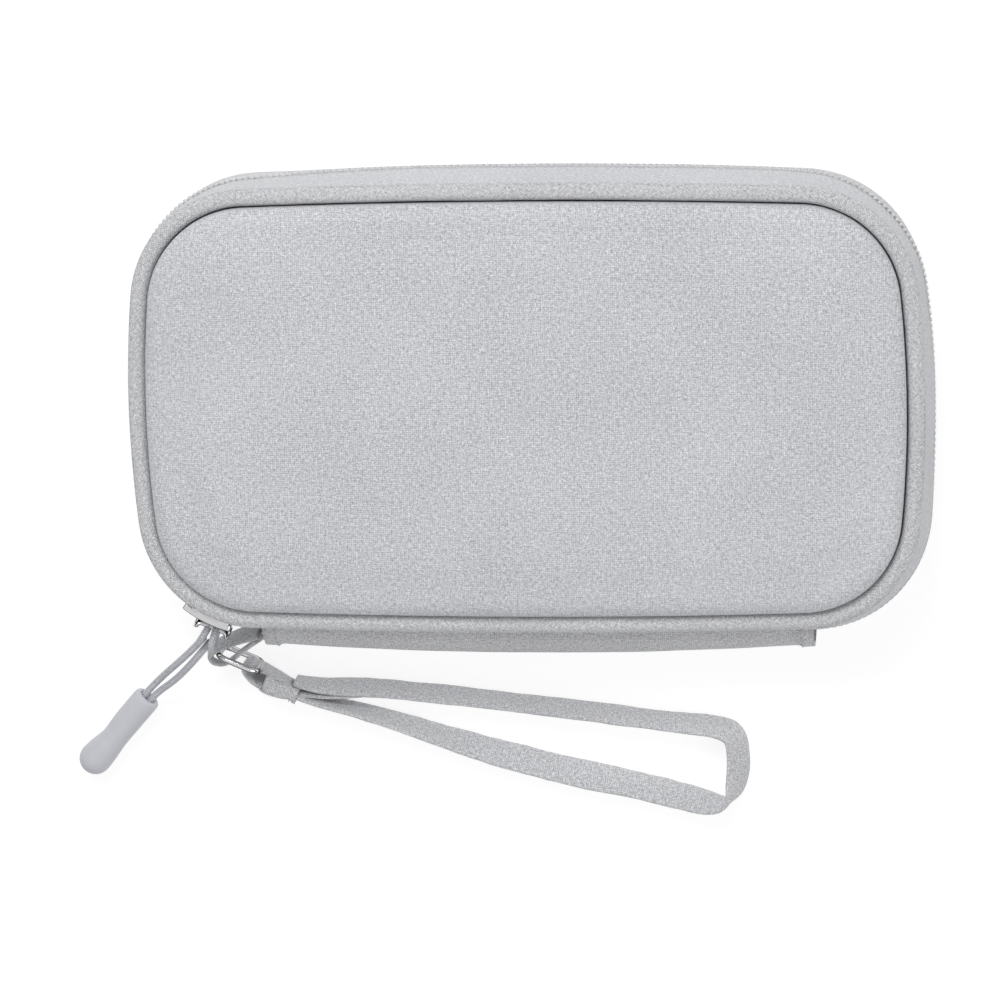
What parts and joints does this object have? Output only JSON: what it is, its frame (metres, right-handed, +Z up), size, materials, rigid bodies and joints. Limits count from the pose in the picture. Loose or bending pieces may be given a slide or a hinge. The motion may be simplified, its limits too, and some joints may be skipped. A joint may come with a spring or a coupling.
{
  "type": "cable organizer pouch",
  "caption": "Piped fabric clamshell pouch with a coil zip, corded zip pull, wrist strap on a wire ring, elastic loops and a mesh pocket inside.",
  "frame": {"origin": "on the surface it lies on, under the middle of the closed pouch without its strap, ring, tab and zip pull", "axes": "+X along the pouch's length, +Y from the spine hinge to the opening side, +Z up out of the front panel"},
  "size_m": [0.2028, 0.1561, 0.036],
  "materials": {
    "panel_cloth": "heathered plain weave",
    "piping_cloth": "plain weave, wrapped",
    "piping_core": "smooth",
    "foam": "closed-cell foam",
    "lining_cloth": "fine smooth weave",
    "zip_tape": "twill tape",
    "zip_coil": "satin",
    "elastic": "ribbed elastic",
    "mesh": "open net",
    "chrome_metal": "polished",
    "pull_cord": "braided",
    "pull_rubber": "smooth matte",
    "strap_cloth": "heathered plain weave"
  },
  "bodies": {
    "back_half": {"back_panel": "panel_cloth", "back_foam": "foam", "back_lining": "lining_cloth", "back_piping": "piping_cloth", "back_piping_cord": "piping_core", "back_zip_tape": "zip_tape", "back_zip_coil": "zip_coil", "back_zip_stop": "chrome_metal", "back_spine_leaf": "panel_cloth", "upper_elastic_row": "elastic", "lower_elastic_row": "elastic", "ring_tab": "strap_cloth"},
    "front_half": {"front_panel": "panel_cloth", "front_foam": "foam", "front_lining": "lining_cloth", "front_piping": "piping_cloth", "front_piping_cord": "piping_core", "front_zip_tape": "zip_tape", "front_zip_coil": "zip_coil", "front_zip_stop": "chrome_metal", "front_spine_leaf": "panel_cloth", "mesh_pocket": "mesh", "mesh_binding": "elastic"},
    "slider": {"slider_body": "chrome_metal", "slider_bail": "chrome_metal"},
    "hitch": {"pull_hitch": "pull_cord"},
    "pull": {"pull_cord": "pull_cord", "pull_tip": "pull_rubber"},
    "ring": {"strap_ring": "chrome_metal"},
    "strap": {"strap_leaf": "strap_cloth", "strap_keeper": "strap_cloth", "wrist_strap": "strap_cloth", "strap_tail": "strap_cloth"}
  },
  "joints": [
    {"name": "lid_hinge", "type": "hinge", "parent": "back_half", "child": "front_half", "pos_m": [0, -0.0581, 0.018], "axis": [1, 0, 0], "range_deg": [0, 135]},
    {"name": "slider_run", "type": "hinge", "parent": "back_half", "child": "slider", "pos_m": [-0.0638, -0.0217, 0.018], "axis": [0, 0, -1], "range_deg": [0, 60]},
    {"name": "pull_flip", "type": "hinge", "parent": "slider", "child": "hitch", "pos_m": [-0.07805, -0.05487, 0.018], "axis": [-0.9188, 0.3948, 0], "range_deg": [0, 105]},
    {"name": "pull_swing", "type": "hinge", "parent": "hitch", "child": "pull", "pos_m": [-0.07805, -0.05487, 0.018], "axis": [-0.2732, -0.3626, 0.891], "range_deg": [-35, 12]},
    {"name": "ring_swing", "type": "hinge", "parent": "back_half", "child": "ring", "pos_m": [-0.0763, -0.0628, 0.00645], "axis": [0, 0, 1], "range_deg": [-40, 6]},
    {"name": "strap_swing", "type": "hinge", "parent": "ring", "child": "strap", "pos_m": [-0.06682, -0.06657, 0.00605], "axis": [0, 0, 1], "range_deg": [-50, 6]}
  ]
}
